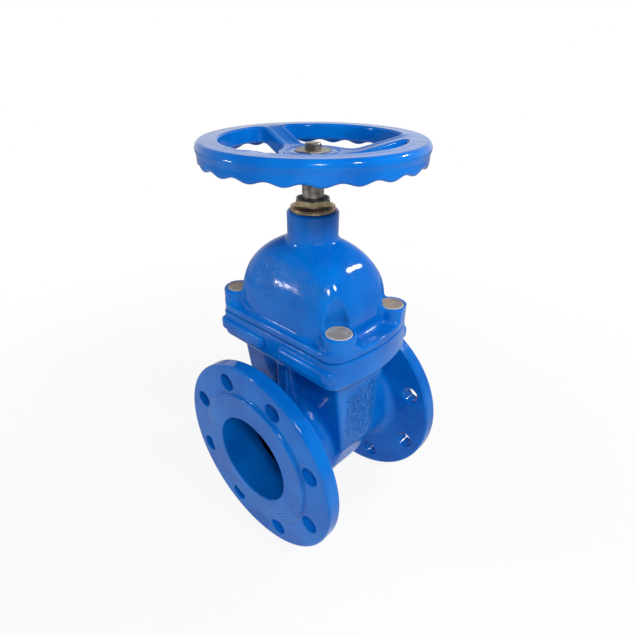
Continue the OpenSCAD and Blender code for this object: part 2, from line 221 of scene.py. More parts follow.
def plainMesh(name, points, faces):  # faces is an array with one row of corners each
    mesh = bpy.data.meshes.new(name)
    mesh.vertices.add(len(points))
    mesh.vertices.foreach_set("co", np.asarray(points, np.float32).ravel())
    size = faces.shape[1]
    mesh.loops.add(faces.size)
    mesh.loops.foreach_set("vertex_index", faces.ravel().astype(np.int32))
    mesh.polygons.add(len(faces))
    mesh.polygons.foreach_set("loop_start", np.arange(0, faces.size, size, dtype=np.int32))
    mesh.update(calc_edges=True)
    mesh.validate()
    return mesh


def shown(name, data):  # a new object, linked to the scene
    obj = bpy.data.objects.new(name, data)
    scene.collection.objects.link(obj)
    return obj


def finished(obj):  # the object's evaluated mesh, in place of its modifiers
    view = bpy.context.evaluated_depsgraph_get()
    mesh = bpy.data.meshes.new_from_object(obj.evaluated_get(view), depsgraph=view)
    obj.modifiers.clear()
    old = obj.data
    obj.data = mesh
    bpy.data.meshes.remove(old)
    return obj


def cast(name, field, low, high, step, limit=190000):  # a field as a piece of up to limit triangles
    points, quads = skin(field, low, high, step)
    points = settle(field, points, rounds=3, most=step)
    points = relax(points, quads, share=0.6)
    points = settle(field, points, rounds=2, most=step)
    obj = shown(name, plainMesh(name, points / mm, quads))
    if 2 * len(quads) > limit:
        thin = obj.modifiers.new("thin", "DECIMATE")
        thin.ratio = limit / (2 * len(quads))
        finished(obj)
    mesh = obj.data
    found = np.empty(3 * len(mesh.vertices), np.float32)
    mesh.vertices.foreach_get("co", found)
    points = settle(field, found.reshape(-1, 3).astype(float) * mm, rounds=2, most=step / 2)
    mesh.vertices.foreach_set("co", (points / mm).astype(np.float32).ravel())
    mesh.shade_smooth()
    grad = slopeOf(field, points, reach=0.12)
    grad /= np.sqrt((grad * grad).sum(1))[:, None]
    mesh.normals_split_custom_set_from_vertices(grad.tolist())
    mesh.update()
    print("cast", name, len(mesh.vertices), "points", len(mesh.polygons), "faces")
    return obj


def place(obj, body, slot, *replaced):  # hands a finished piece to its body and hides the nodes it replaces
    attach(obj, body)
    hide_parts(*replaced)


# Body: two flanges on a neck, a chamber that spreads to the joint plate, ribs and bars.
bodySize = {
    "flangeThick": 16,
    "flangeEdge": 2.6,
    "raisedR": 78,
    "raisedHigh": 3,
    "raisedEdge": 1.4,
    "boreR": 50,
    "boreEdge": 1.2,
    "holeEdge": 1.0,
    "neckR": 57,
    "neckFillet": 12,
    "chestFillet": 9,
    "chestLowX": 27,
    "chestTopX": 39,
    "chestY": 69.3,
    "chestEdge": 4,
    "chestLowR": 60.6,
    "chestLowZ": 10,
    "plateThick": 28,
    "plateBulge": 11,
    "cornerTop": 13,
    "cornerLow": 11,
    "plateEdge": 1.8,
    "plateFillet": 5,
    "taper": 12,
    "taperEdge": 3,
    "ribX": 47,
    "ribY": 7,
    "ribEdge": 2.5,
    "ribEndEdge": 2,
    "ribFillet": 6,
    "barOut": 4,
    "barIn": 12,
    "barLow": 7.5,
    "barHigh": 20.5,
    "barFrom": 12,
    "barTo": 79,
    "barRound": 4,
    "barEdge": 2.6,
    "barFillet": 1.2,
    "pocketX": 21,
    "pocketR": 54,
    "pocketEdge": 0.8,
    "guideX": 8,
    "guideY": 59.5,
}


def bodyField(x, y, z):
    s = bodySize
    flangeR = (bodyHigh[1] - bodyLow[1]) / 2
    topZ = bodyHigh[2]
    lowZ = topZ - s["plateThick"]
    u = np.abs(x - stemX)
    w = np.abs(y)
    pipeR = length(y, z)

    faceX = flangeEnd - s["raisedHigh"]
    backX = faceX - s["flangeThick"]
    disc = softMeet(pipeR - flangeR, slab(u, backX, faceX), s["flangeEdge"])
    neck = np.maximum(pipeR - s["neckR"], u - backX - 2)  # ends inside the flange
    flange = softJoin(disc, neck, s["neckFillet"])
    raised = softMeet(pipeR - s["raisedR"], slab(u, backX + 4, flangeEnd), s["raisedEdge"])
    flange = softJoin(flange, raised, s["raisedEdge"])

    # The chamber's outline is the hull of a round bottom and the two lower corners of its sides.
    corner = s["chestEdge"]
    sideY = s["chestY"] - corner
    cornerZ = s["chestLowZ"]
    gap = math.hypot(sideY, cornerZ)
    along = (w * sideY + z * cornerZ) / gap
    across = (w * cornerZ - z * sideY) / gap
    low = twoCircles(across, along, gap, s["chestLowR"], corner)
    outline = np.minimum(low, np.maximum(w - s["chestY"], slab(z, cornerZ, lowZ)))
    lean = (s["chestTopX"] - s["chestLowX"]) / (lowZ - s["taper"] - cornerZ)
    side = (u - s["chestLowX"] - lean * np.maximum(z - cornerZ, 0)) / math.hypot(1, lean)
    chest = softMeet(outline, side, s["chestEdge"])

    # Under the joint plate the chamber spreads to the plate's own outline, over the taper.
    spread = (z - lowZ) / s["taper"] + 1
    taper = bulged(u, w, s["chestTopX"] + (plateX - s["chestTopX"]) * spread,
                   s["chestY"] + (plateY - s["chestY"]) * spread,
                   1 + (s["plateBulge"] - 1) * np.clip(spread, 0.05, 1.1), s["cornerLow"])
    upward = np.clip((z - lowZ) / s["plateThick"], 0, 1)
    plateCorner = s["cornerLow"] + (s["cornerTop"] - s["cornerLow"]) * upward
    edge = bulged(u, w, plateX, plateY, s["plateBulge"], plateCorner)
    plate = softMeet(edge, taper * 0.53, s["taperEdge"])  # the taper's field counts too fast
    plate = softMeet(plate, slab(z, lowZ - 1.3 * s["taper"], topZ), s["plateEdge"])
    chest = softJoin(chest, plate, s["plateFillet"])

    rib = softMeet(u - s["ribX"], w - s["ribY"], s["ribEdge"])
    rib = softMeet(rib, slab(z, s["neckR"] - 12, lowZ + 4), s["ribEndEdge"])
    chest = softJoin(chest, rib, s["ribFillet"])
    barMid = (s["barFrom"] + s["barTo"]) / 2
    barZ = lowZ + (s["barLow"] + s["barHigh"]) / 2
    bar = roundRect(w - barMid, z - barZ, s["barTo"] - barMid, (s["barHigh"] - s["barLow"]) / 2,
                    s["barRound"])
    bar = softMeet(bar, np.maximum(edge - s["barOut"], plateX - s["barIn"] - u), s["barEdge"])
    chest = softJoin(chest, bar, s["barFillet"])
    casting = softJoin(flange, chest, s["chestFillet"])

    pocket = np.minimum(pipeR - s["pocketR"], np.maximum(w - s["pocketR"], -z))
    pocket = np.maximum(pocket, u - s["pocketX"])
    guide = np.maximum(np.maximum(w - s["guideY"], u - s["guideX"]), -z)
    casting = softCut(casting, np.minimum(pocket, guide), s["pocketEdge"])
    casting = softCut(casting, pipeR - s["boreR"], s["boreEdge"])
    pitch = 2 * math.pi / bolts["count"]
    turn = np.arctan2(z, y) % pitch - pitch / 2
    hole = length(pipeR * np.cos(turn) - bolts["pcd_mm"] / 2, pipeR * np.sin(turn))
    hole = np.maximum(hole - bolts["hole_r_mm"], backX - 8 - u)
    return softCut(casting, hole, s["holeEdge"])


body = cast("bodyCasting", bodyField, bodyLow, bodyHigh, 1.3)
place(body, "valve_body", "epoxy_paint", "body")

# Bonnet: a plate with four bosses, a dome cut away round them, and the neck that holds the gland.
bonnetSize = {
    "plateThick": 8,
    "plateBulge": 11,
    "plateCorner": 18,
    "plateEdge": 2,
    "bossR": 16,
    "bossEdge": 2.3,
    "bossFillet": 4.5,
    "toolR": 13.7,
    "toolEdge": 1.4,
    "plugDeep": 15.5,
    "boreEdge": 0.8,
    "seatEdge": 0.5,
    "domeX": 52,
    "domeY": 70.5,
    "domeLow": 9,
    "domeHigh": 70,
    "domeFillet": 4.5,
    "wall": 7,
    "neckR": 24.25,
    "neckEdge": 2.5,
    "neckFillet": 3,
}


def bonnetField(x, y, z):
    s = bonnetSize
    lowZ, topZ = bonnetLow[2], bonnetHigh[2]
    ledgeZ = lowZ + s["plateThick"]
    bossZ = waxHigh[2]
    u = np.abs(x - stemX)
    w = np.abs(y)
    boss = length(u - waxX, w - waxY)
    rad = length(u, w)

    outline = bulged(u, w, plateX, plateY, s["plateBulge"], s["plateCorner"])
    plate = softMeet(outline, slab(z, lowZ, ledgeZ), s["plateEdge"])
    level = ledgeZ + s["domeLow"]
    shell = dome(u, w, z, s["domeX"], s["domeY"], s["domeHigh"], level)
    shell = softCut(shell, np.maximum(boss - s["toolR"], bossZ - z), s["toolEdge"])
    room = shell + s["wall"]
    casting = softJoin(plate, np.maximum(shell, lowZ - z), s["domeFillet"])
    bosses = softMeet(boss - s["bossR"], slab(z, lowZ, bossZ), s["bossEdge"])
    casting = softJoin(casting, bosses, s["bossFillet"])
    casting = np.maximum(casting, np.maximum(outline, lowZ - z))  # a fillet stops at the plate's edge
    neck = softMeet(rad - s["neckR"], slab(z, level + 30, topZ), s["neckEdge"])
    casting = softJoin(casting, neck, s["neckFillet"])

    casting = np.maximum(casting, -room)
    casting = softCut(casting, np.maximum(boss - waxR, bossZ - s["plugDeep"] - z), s["boreEdge"])
    casting = np.maximum(casting, fit["screwR"] - boss)
    casting = np.maximum(casting, fit["stemR"] - rad)
    casting = np.maximum(casting, -np.maximum(rad - fit["glandR"], topZ - fit["glandDeep"] - z))
    seat = np.maximum(rad - fit["seatR"], topZ - fit["seatDeep"] - z)
    return softCut(casting, seat, s["seatEdge"])


bonnet = cast("bonnetCasting", bonnetField, bonnetLow, bonnetHigh, 1.1)
place(bonnet, "valve_body", "epoxy_paint", "bonnet")

# Handwheel: a dished disc with three openings, each with a turned-down lip, and a wavy grip.
wheelSize = {
    "dish": 12,
    "flatR": 38,
    "riseR": 78,
    "bend": 5,
    "web": 8,
    "skirt": 6.5,
    "edge": 3.6,
    "skirtEdge": 2.4,
    "skirtFillet": 4,
    "rimHigh": 19.5,
    "waveCount": 22,
    "waveDeg": 162.0,
    "wave": 2.8,
    "hubR": 22,
    "hubEdge": 2,
    "boreR": 8.55,
    "gapLowR": 31,
    "gapR": 80,
    "gapCorner": 10,
    "lipHigh": 14,
    "lipThick": 5.5,
    "lipEdge": 2.2,
    "lipRound": 2,
    "fillet": 3,
    "spokeHalf": 10.5,
    "gapDeg": 14,
}


def wheelField(x, y, z):
    s = wheelSize
    lowZ, topZ = wheelLow[2], wheelHigh[2]
    outR = (wheelHigh[1] - wheelLow[1]) / 2
    rad = length(x - stemX, y)
    turn = np.arctan2(y, x - stemX)

    # The top face is level at the hub, climbs from flatR to riseR, and is level again at the rim.
    span = s["riseR"] - s["flatR"]
    climb = length(rad - s["flatR"], s["bend"]) - length(rad - s["riseR"], s["bend"])
    top = topZ - s["dish"] * (1 - (climb + span) / (2 * span))
    web = slab(z - top, -s["web"], 0) / math.hypot(1, s["dish"] / span)
    web = softMeet(web, rad - outR, s["edge"])
    wave = 0.5 - 0.5 * np.cos(s["waveCount"] * (turn - math.radians(s["waveDeg"])))
    rimLow = topZ - s["rimHigh"] + s["wave"] * wave
    skirt = softMeet(slab(rad, outR - s["skirt"], outR), slab(z, rimLow, topZ - 4), s["skirtEdge"])
    wheel = softJoin(web, skirt, s["skirtFillet"])

    third = 2 * math.pi / 3
    fold = folded(turn - math.radians(s["gapDeg"]), third)
    spoke = s["spokeHalf"] - rad * np.cos(fold) * math.sin(third / 2)
    spoke = spoke + np.abs(rad * np.sin(fold)) * math.cos(third / 2)
    gap = softMeet(rad - s["gapR"], s["gapLowR"] - rad, s["gapCorner"])
    gap = softMeet(gap, spoke, s["gapCorner"])
    lip = softMeet(gap - s["lipThick"], slab(z - top, -s["lipHigh"], -1), s["lipRound"])
    wheel = softJoin(wheel, lip, s["fillet"])
    wheel = softCut(wheel, gap, s["lipEdge"])
    hub = softMeet(rad - s["hubR"], slab(z, lowZ, topZ - s["dish"]), s["hubEdge"])
    wheel = softJoin(wheel, hub, s["fillet"])
    return np.maximum(wheel, np.maximum(s["boreR"] - rad, z - topZ))


wheel = cast("wheelCasting", wheelField, wheelLow, wheelHigh, 1.0)
place(wheel, "stem_group", "wheel_paint", "handwheel")

# Gland nut: a round foot and a hexagon, turned from brass.
glandSize = {
    "footHigh": 3.6,
    "neckHigh": 1.4,
    "neckOut": 2.4,
    "neckEdge": 0.3,
    "neckFillet": 0.4,
    "innerEdge": 0.8,
    "hexAcross": 30.6,
    "hexTurn": 43.5,
    "coneRise": 1.7,
    "coneOff": 0.45,
    "coneEdge": 0.3,
    "edge": 0.5,
    "groove": 0.6,
    "grooveLow": 1.2,
    "grooveEdge": 0.2,
}


def glandField(x, y, z):
    s = glandSize
    hexTurn = math.radians(s["hexTurn"])
    u = (x - stemX) * math.cos(hexTurn) + y * math.sin(hexTurn)
    w = y * math.cos(hexTurn) - (x - stemX) * math.sin(hexTurn)
    rad = length(u, w)
    hexR = s["hexAcross"] / 2
    footR = (glandHigh[0] - glandLow[0]) / 2
    seatR = (wiperHigh[0] - wiperLow[0]) / 2 + fit["play"]
    footZ = bonnetHigh[2] - fit["seatDeep"]
    hexZ = bonnetHigh[2] + s["footHigh"]
    neckZ = hexZ + s["neckHigh"]
    topZ = glandHigh[2]
    innerR = fit["glandR"] - fit["play"]
    inner = softMeet(rad - innerR, slab(z, glandLow[2], footZ + 1), s["innerEdge"])
    foot = softMeet(rad - footR, slab(z, footZ, hexZ), s["edge"])
    neck = (rad - hexR - s["neckOut"] + (z - neckZ)) * 0.7  # a slope of 45 degrees
    neck = softMeet(neck, slab(z, hexZ - 1, neckZ), s["neckEdge"])
    foot = softJoin(foot, neck, s["neckFillet"])
    cone = (rad - hexR + (z - topZ) * s["coneRise"]) * 0.5  # takes the hexagon's corners off
    hexed = softMeet(hexagon(w, u, s["hexAcross"]), slab(z, hexZ, topZ), s["edge"])
    hexed = softMeet(hexed, cone - s["coneOff"], s["coneEdge"])
    nut = np.minimum(np.minimum(inner, foot), hexed)
    groove = length(rad - footR, z - hexZ + s["grooveLow"]) - s["groove"]
    nut = softCut(nut, groove, s["grooveEdge"])
    seat = np.maximum(rad - seatR, wiperLow[2] - z)
    return np.maximum(nut, -np.minimum(rad - fit["stemR"], seat))


gland = cast("glandNut", glandField, glandLow, glandHigh, 0.5)
place(gland, "valve_body", "gland_brass", "gland_nut")

# Wiper ring: a rubber lip in the gland's top that leans on the stem.
wiperSize = {"edge": 0.5, "valley": 0.7, "valleyEdge": 0.3}


def wiperField(x, y, z):
    s = wiperSize
    rad = length(x - stemX, y)
    outR = (wiperHigh[0] - wiperLow[0]) / 2
    middle = (outR + fit["stemR"]) / 2
    ring = softMeet(rad - outR, slab(z, wiperLow[2], wiperHigh[2]), s["edge"])
    valley = length(rad - middle, z - wiperHigh[2]) - s["valley"]
    ring = softCut(ring, valley, s["valleyEdge"])
    return np.maximum(ring, fit["stemR"] - rad)


wiper = cast("wiperLip", wiperField, wiperLow, wiperHigh, 0.4)
place(wiper, "valve_body", "black_rubber", "wiper_ring")

# Wheel bolt: a hexagon head with its corners coned off and a shallow dish in its top.
boltSize = {
    "across": 13,
    "headHigh": 5.3,
    "shankR": 4,
    "edge": 0.5,
    "cone": 0.55,
    "coneFrom": 0.6,
    "coneEdge": 0.3,
    "dish": 0.35,
    "dishR": 24,
    "dishEdge": 0.2,
}


def boltField(x, y, z):
    s = boltSize
    u = x - stemX
    rad = length(u, y)
    topZ = boltHigh[2]
    headLow = topZ - s["headHigh"]
    head = softMeet(hexagon(y, u, s["across"]), slab(z, headLow, topZ), s["edge"])
    cone = (z - topZ) + (rad - s["across"] / 2 + s["coneFrom"]) * s["cone"]
    head = softMeet(head, cone * 0.87, s["coneEdge"])  # the cone's field counts too fast
    bowl = length(rad, z - topZ - s["dishR"]) - (s["dishR"] - s["dish"])
    head = softCut(head, bowl, s["dishEdge"])
    shank = np.maximum(rad - s["shankR"], slab(z, boltLow[2], headLow + 1))
    return np.minimum(head, shank)


bolt = cast("hubBolt", boltField, boltLow, boltHigh, 0.4)
place(bolt, "stem_group", "zinc_steel", "wheel_bolt")

# Washer under the bolt's head, with a rounded outer edge.
washerSize = {"edge": 0.7, "boreEdge": 0.3}


def washerField(x, y, z):
    s = washerSize
    rad = length(x - stemX, y)
    outR = (washerHigh[0] - washerLow[0]) / 2
    ring = softMeet(rad - outR, slab(z, washerLow[2], washerHigh[2]), s["edge"])
    return softCut(ring, rad - boltSize["shankR"] - fit["play"], s["boreEdge"])


washer = cast("hubWasher", washerField, washerLow, washerHigh, 0.5)
place(washer, "stem_group", "zinc_steel", "wheel_washer")
print("castings and turned pieces done")


def operator(operation, swapped=False):  # arithmetic that adds a Math node
    def apply(value, other):
        pair = (other, value) if swapped else (value, other)
        return value.graph.make("ShaderNodeMath", {"operation": operation}, dict(enumerate(pair)))
    return apply


class Value:  # a socket that takes part in arithmetic
    def __init__(self, graph, node, out):
        self.graph = graph
        self.node = node
        self.socket = node.outputs[out]

    __add__ = operator("ADD")
    __radd__ = operator("ADD", swapped=True)
    __sub__ = operator("SUBTRACT")
    __rsub__ = operator("SUBTRACT", swapped=True)
    __mul__ = operator("MULTIPLY")
    __rmul__ = operator("MULTIPLY", swapped=True)
    __truediv__ = operator("DIVIDE")
    __rtruediv__ = operator("DIVIDE", swapped=True)
    __pow__ = operator("POWER")
    __rpow__ = operator("POWER", swapped=True)
    least = operator("MINIMUM")
    most = operator("MAXIMUM")

    def only(self, operation):  # an operation on this value alone
        return self.graph.make("ShaderNodeMath", {"operation": operation}, {0: self})


class Graph:  # any node tree, for a material, the world or a Geometry Nodes modifier
    def __init__(self, tree):
        self.tree = tree
        tree.nodes.clear()

    def feed(self, socket, value):
        if isinstance(value, Value):
            self.tree.links.new(value.socket, socket)
        else:
            socket.default_value = value

    def make(self, kind, settings=None, sockets=None, out=0):
        node = self.tree.nodes.new(kind)
        for name, value in (settings or {}).items():
            setattr(node, name, value)
        for name, value in (sockets or {}).items():
            self.feed(node.inputs[name], value)
        return Value(self, node, out) if len(node.outputs) else node

    def apart(self, vector):
        node = self.make("ShaderNodeSeparateXYZ", {}, {0: vector}).node
        return [Value(self, node, k) for k in range(3)]

    def ramp(self, value, low, high):  # 0 at low, 1 at high, soft between
        settings = {"interpolation_type": "SMOOTHSTEP"}
        sockets = {"Value": value, "From Min": low, "From Max": high}
        return self.make("ShaderNodeMapRange", settings, sockets)

    def between(self, value, rise, fall):  # climbs from 0 to 1 over rise, drops back over fall
        return self.ramp(value, *rise) * self.ramp(value, fall[1], fall[0])

    def blend(self, share, a, b):  # two colours
        settings = {"data_type": "RGBA"}
        return self.make("ShaderNodeMix", settings, {0: share, 6: a, 7: b}, 2)

    def rays(self):  # is it a ray from the camera, and is it one from a mirror or through glass
        path = self.make("ShaderNodeLightPath").node
        glossy = Value(self, path, "Is Glossy Ray")
        through = Value(self, path, "Is Transmission Ray")
        return Value(self, path, "Is Camera Ray"), glossy.most(through)


class Finish(Graph):  # a surface finish, measured in millimetres on the object's own coordinates
    def __init__(self, name):
        self.material = bpy.data.materials.new(name)
        self.material.use_nodes = True
        super().__init__(self.material.node_tree)
        own = self.make("ShaderNodeTexCoord", {}, {}, "Object")
        self.at = self.make("ShaderNodeVectorMath", {"operation": "SCALE"}, {0: own, "Scale": mm})
        self.x, self.y, self.z = self.apart(self.at)
        self.surface = self.make("ShaderNodeBsdfPrincipled")
        self.make("ShaderNodeOutputMaterial", {}, {"Surface": self.surface})

    def noise(self, size, detail=2, rough=0.5, at=None):
        sockets = {"Vector": at or self.at, "Scale": 1 / size, "Detail": detail, "Roughness": rough}
        return self.make("ShaderNodeTexNoise", {}, sockets)

    def set(self, **sockets):
        for name, value in sockets.items():
            self.feed(self.surface.node.inputs[name.replace("_", " ")], value)

    def tint(self, colour):  # the colour is kept, so that a mark can go over it
        self.colour = colour
        self.set(Base_Color=colour)

    def mark(self, share, colour):
        self.tint(self.blend(share, self.colour, colour))

    def relief(self, height):  # in millimetres
        sockets = {"Height": height, "Distance": 1 / mm, "Strength": 1.0}
        self.set(Normal=self.make("ShaderNodeBump", {}, sockets))


# Wax over the four bonnet screws: one poured plug, placed at each boss by Geometry Nodes.
waxPour = {
    "Radius": waxR - 0.06,  # just inside its bore
    "Depth": 15.5,
    "Rim": 0.9,
    "Rim Drop": 1.3,
    "Dimple": 0.5,
    "Sunk": 0.75,
    "Spread X": 2 * waxX,
    "Spread Y": 2 * waxY,
    "Seed": 4,
}


def waxTree():
    tree = bpy.data.node_groups.new("waxPour", "GeometryNodeTree")
    graph = Graph(tree)
    for name in waxPour:
        kind = "NodeSocketInt" if name == "Seed" else "NodeSocketFloat"
        tree.interface.new_socket(name, in_out="INPUT", socket_type=kind)
    tree.interface.new_socket("Wax", in_out="INPUT", socket_type="NodeSocketMaterial")
    tree.interface.new_socket("Geometry", in_out="OUTPUT", socket_type="NodeSocketGeometry")
    source = graph.make("NodeGroupInput").node
    size = {name: Value(graph, source, name) for name in list(waxPour) + ["Wax"]}

    radius = size["Radius"] / mm
    depth = size["Depth"] / mm
    sizes = {"Vertices": 72, "Side Segments": 5, "Fill Segments": 14, "Radius": radius, "Depth": depth}
    plug = graph.make("GeometryNodeMeshCylinder", {"fill_type": "TRIANGLE_FAN"}, sizes)
    x, y, z = graph.apart(graph.make("GeometryNodeInputPosition"))
    out = (x * x + y * y) ** 0.5 / radius  # 0 in the middle, 1 at the side
    onTop = graph.ramp(z / depth, 0.4, 0.499)  # the top is at 0.5
    rim = graph.ramp(out, 0.72, 0.97) - graph.ramp(out, 0.93, 1.0) * size["Rim Drop"]
    dimple = graph.ramp(out, 0.16, 0.04)
    lift = (rim * size["Rim"] - dimple * size["Dimple"] - size["Sunk"]) * onTop / mm
    offset = graph.make("ShaderNodeCombineXYZ", {}, {"Z": lift})
    plug = graph.make("GeometryNodeSetPosition", {}, {"Geometry": plug, "Offset": offset})

    spreadX = size["Spread X"] / mm
    spreadY = size["Spread Y"] / mm
    corners = {"Size X": spreadX, "Size Y": spreadY, "Vertices X": 2, "Vertices Y": 2}
    grid = graph.make("GeometryNodeMeshGrid", {}, corners)
    angle = graph.make("FunctionNodeRandomValue", {}, {"Max": 6.28, "Seed": size["Seed"]}, 1)
    rotation = graph.make("ShaderNodeCombineXYZ", {}, {"Z": angle})
    poured = {"Points": grid, "Instance": plug, "Rotation": rotation}
    plugs = graph.make("GeometryNodeInstanceOnPoints", {}, poured)
    order = graph.make("GeometryNodeInputIndex")
    tone = {"Geometry": plugs, "Name": "tone", "Value": order.least(1)}  # the first plug is greyer
    plugs = graph.make("GeometryNodeStoreNamedAttribute", {"domain": "INSTANCE"}, tone)
    plugs = graph.make("GeometryNodeRealizeInstances", {}, {0: plugs})
    plugs = graph.make("GeometryNodeSetMaterial", {}, {"Geometry": plugs, "Material": size["Wax"]})
    graph.make("NodeGroupOutput", {}, {"Geometry": plugs})
    return tree


waxLook = {
    "grey": (0.30, 0.29, 0.28, 1),
    "tan": (0.36, 0.27, 0.19, 1),
    "stain": (0.25, 0.21, 0.17, 1),
    "fleck": (0.5, 0.46, 0.4, 1),
    "rim": (0.55, 0.56, 0.58, 1),
    "cloudSize": 5,
    "mottleSize": 1.1,
    "cloudHigh": 0.25,
    "mottleHigh": 0.1,
}


def waxFinish():
    p = waxLook
    wax = Finish("pouredWax")
    tone = wax.make("ShaderNodeAttribute", {"attribute_name": "tone"}, {}, "Fac")
    cloud = wax.noise(p["cloudSize"], detail=4)
    mottle = wax.noise(p["mottleSize"], detail=3)
    wax.tint(wax.blend(tone, p["grey"], p["tan"]))
    wax.mark(wax.ramp(cloud, 0.4, 0.65), p["stain"])
    wax.mark(wax.ramp(mottle, 0.55, 0.75) * 0.5, p["fleck"])
    offX = (wax.x - stemX).only("ABSOLUTE") - waxX
    offY = wax.y.only("ABSOLUTE") - waxY
    out = (offX ** 2 + offY ** 2) ** 0.5
    wax.mark(wax.ramp(out, waxR * 0.82, waxR * 0.95) * 0.7, p["rim"])
    wax.set(Roughness=0.28 + 0.25 * mottle, Coat_Weight=0.3)
    wax.relief(p["cloudHigh"] * cloud + p["mottleHigh"] * mottle)
    return wax.material


waxMaterial = waxFinish()
waxPlugs = shown("waxPlugs", bpy.data.meshes.new("waxPlugs"))
pour = waxPlugs.modifiers.new("pour", "NODES")
pour.node_group = waxTree()
for item in pour.node_group.interface.items_tree:
    if item.in_out == "INPUT":
        pour[item.identifier] = waxMaterial if item.name == "Wax" else waxPour[item.name]
finished(waxPlugs)
waxPoints = np.empty(3 * len(waxPlugs.data.vertices), np.float32)
waxPlugs.data.vertices.foreach_get("co", waxPoints)
waxCentre = np.array([stemX, 0, waxHigh[2] - waxPour["Depth"] / 2]) / mm
waxPoints = (waxPoints.reshape(-1, 3) + waxCentre).astype(np.float32)
waxPlugs.data.vertices.foreach_set("co", waxPoints.ravel())
waxPlugs.data.shade_smooth()
waxPlugs.data.update()
place(waxPlugs, "valve_body", "sealing_wax", *["wax_plug_%d" % k for k in (1, 2, 3, 4)])
print("wax poured,", len(waxPlugs.data.polygons), "faces")

# Epoxy over cast iron: a thick glossy skin that softens the casting's unevenness.
paintLook = {
    "deep": (0.0006, 0.118, 0.5, 1),
    "light": (0.001, 0.162, 0.61, 1),
    "broadSize": 38,  # sizes of the patterns and heights of the relief are in millimetres
    "cloudSize": 16,
    "peelSize": 1.6,
    "speckSize": 2.4,
    "rough": 0.05,
    "roughVaries": 0.06,
    "peel": 0.018,
    "unevenness": 0.25,
    "specks": 0.05,
}


def paint(name):  # the coat and its relief, for each casting to add to
    p = paintLook
    coat = Finish(name)
    broad = coat.noise(p["broadSize"], detail=3, rough=0.45)
    cloud = coat.noise(p["cloudSize"])
    peel = coat.noise(p["peelSize"], detail=1)
    specks = coat.ramp(coat.noise(p["speckSize"], detail=1), 0.7, 0.78)
    varies = p["roughVaries"]
    coat.tint(coat.blend(coat.ramp(broad, 0.3, 0.7), p["deep"], p["light"]))
    coat.set(IOR=1.5, Specular_IOR_Level=0.22)
    coat.set(Roughness=p["rough"] + varies * cloud + varies * coat.ramp(broad, 0.45, 0.75))
    height = p["peel"] * peel + p["unevenness"] * cloud + p["specks"] * specks
    return coat, height


def grains(coat, size):  # rough casting that shows through the coat
    return coat.ramp(coat.noise(size, detail=3, rough=0.6), 0.42, 0.58)


bodyLook = {  # a pair of numbers is where a patch starts to come or go, and where it has done so
    # seat below is painted shade: near-black on the bore wall deep inside, standing in for the shade
    # there; the next two pairs bound it
    "seat": (0.004, 0.004, 0.005, 1),
    "seatR": (52.8, 53.5),
    "shadeAcross": (49, 49.6),
    "rings": 0.16,
    "ringPitch": 3.2,
    "ringsFrom": (58, 62),
    "ringsTo": (75, 77),
    "faceIn": (0.6, 1.2),  # in from the end faces
    "roughCast": 1.3,
    "grainSize": 3.4,
    "roughX": (19, 27),
    "roughLow": (-6, 4),
    "roughHigh": (78, 88),
    "sideIn": (0.4, 1.5),  # in from the chamber's flat side
}


def bodyPaint():  # turned rings on the end faces, painted shade deep in the bore, one rough side
    p = bodyLook
    coat, height = paint("bodyEpoxy")
    out = (coat.y * coat.y + coat.z * coat.z) ** 0.5
    across = (coat.x - stemX).only("ABSOLUTE")
    # painted shade: the bore wall from about 45 mm in from each end face is coloured near-black
    paintedBoreShade = coat.ramp(out, p["seatR"][1], p["seatR"][0])
    paintedBoreShade = paintedBoreShade * coat.ramp(across, p["shadeAcross"][1], p["shadeAcross"][0])
    coat.mark(paintedBoreShade, p["seat"])
    face = coat.ramp(across, flangeEnd - p["faceIn"][1], flangeEnd - p["faceIn"][0])
    face = face * coat.between(out, p["ringsFrom"], p["ringsTo"])
    rings = (out * (2 * math.pi / p["ringPitch"])).only("SINE")
    height = height + face * rings * p["rings"]
    sideY = -bodySize["chestY"]
    side = coat.ramp(coat.y, sideY + p["sideIn"][1], sideY + p["sideIn"][0])
    patch = coat.ramp(across, p["roughX"][1], p["roughX"][0])
    patch = patch * coat.between(coat.z, p["roughLow"], p["roughHigh"]) * side
    coat.relief(height + patch * grains(coat, p["grainSize"]) * p["roughCast"])
    return coat.material


bonnetLook = {
    "roughCast": 0.4,
    "grainSize": 2.6,
    "roughX": (-38, -34),  # from the stem
    "roughY": ((-54, -46), (24, 34)),
    "roughZ": ((22, 30), (60, 66)),  # over the plate
}


def bonnetPaint():  # one rough patch on the dome
    p = bonnetLook
    coat, height = paint("bonnetEpoxy")
    foot = bonnetLow[2] + bonnetSize["plateThick"]
    patch = coat.ramp(coat.x - stemX, p["roughX"][1], p["roughX"][0])
    patch = patch * coat.between(coat.y, *p["roughY"])
    patch = patch * coat.between(coat.z - foot, *p["roughZ"])
    coat.relief(height + patch * grains(coat, p["grainSize"]) * p["roughCast"])
    return coat.material


wheelLook = {"drips": 0.12, "dripSize": 7}


def wheelPaint():  # the same coat, thicker in places
    coat, height = paint("wheelEpoxy")
    drips = coat.noise(wheelLook["dripSize"], detail=1)
    coat.relief(height + wheelLook["drips"] * drips)
    return coat.material


metalLook = {  # stained colour, clean colour, roughness and the height of the turned lines
    "turnedBrass": ((0.24, 0.18, 0.1, 1), (0.46, 0.39, 0.25, 1), 0.22, 0.008),
    "groundStainless": ((0.07, 0.063, 0.058, 1), (0.34, 0.32, 0.3, 1), 0.16, 0.004),
    "nutBronze": ((0.35, 0.2, 0.08, 1), (0.6, 0.42, 0.2, 1), 0.3, 0.03),
    "zincPlate": ((0.25, 0.22, 0.18, 1), (0.52, 0.48, 0.42, 1), 0.28, 0.012),
    "boltBronzed": ((0.2, 0.16, 0.1, 1), (0.45, 0.38, 0.28, 1), 0.25, 0.012),
}
metalGrain = {"lineSize": 0.35, "cloudSize": 6, "stainSize": 2.5}


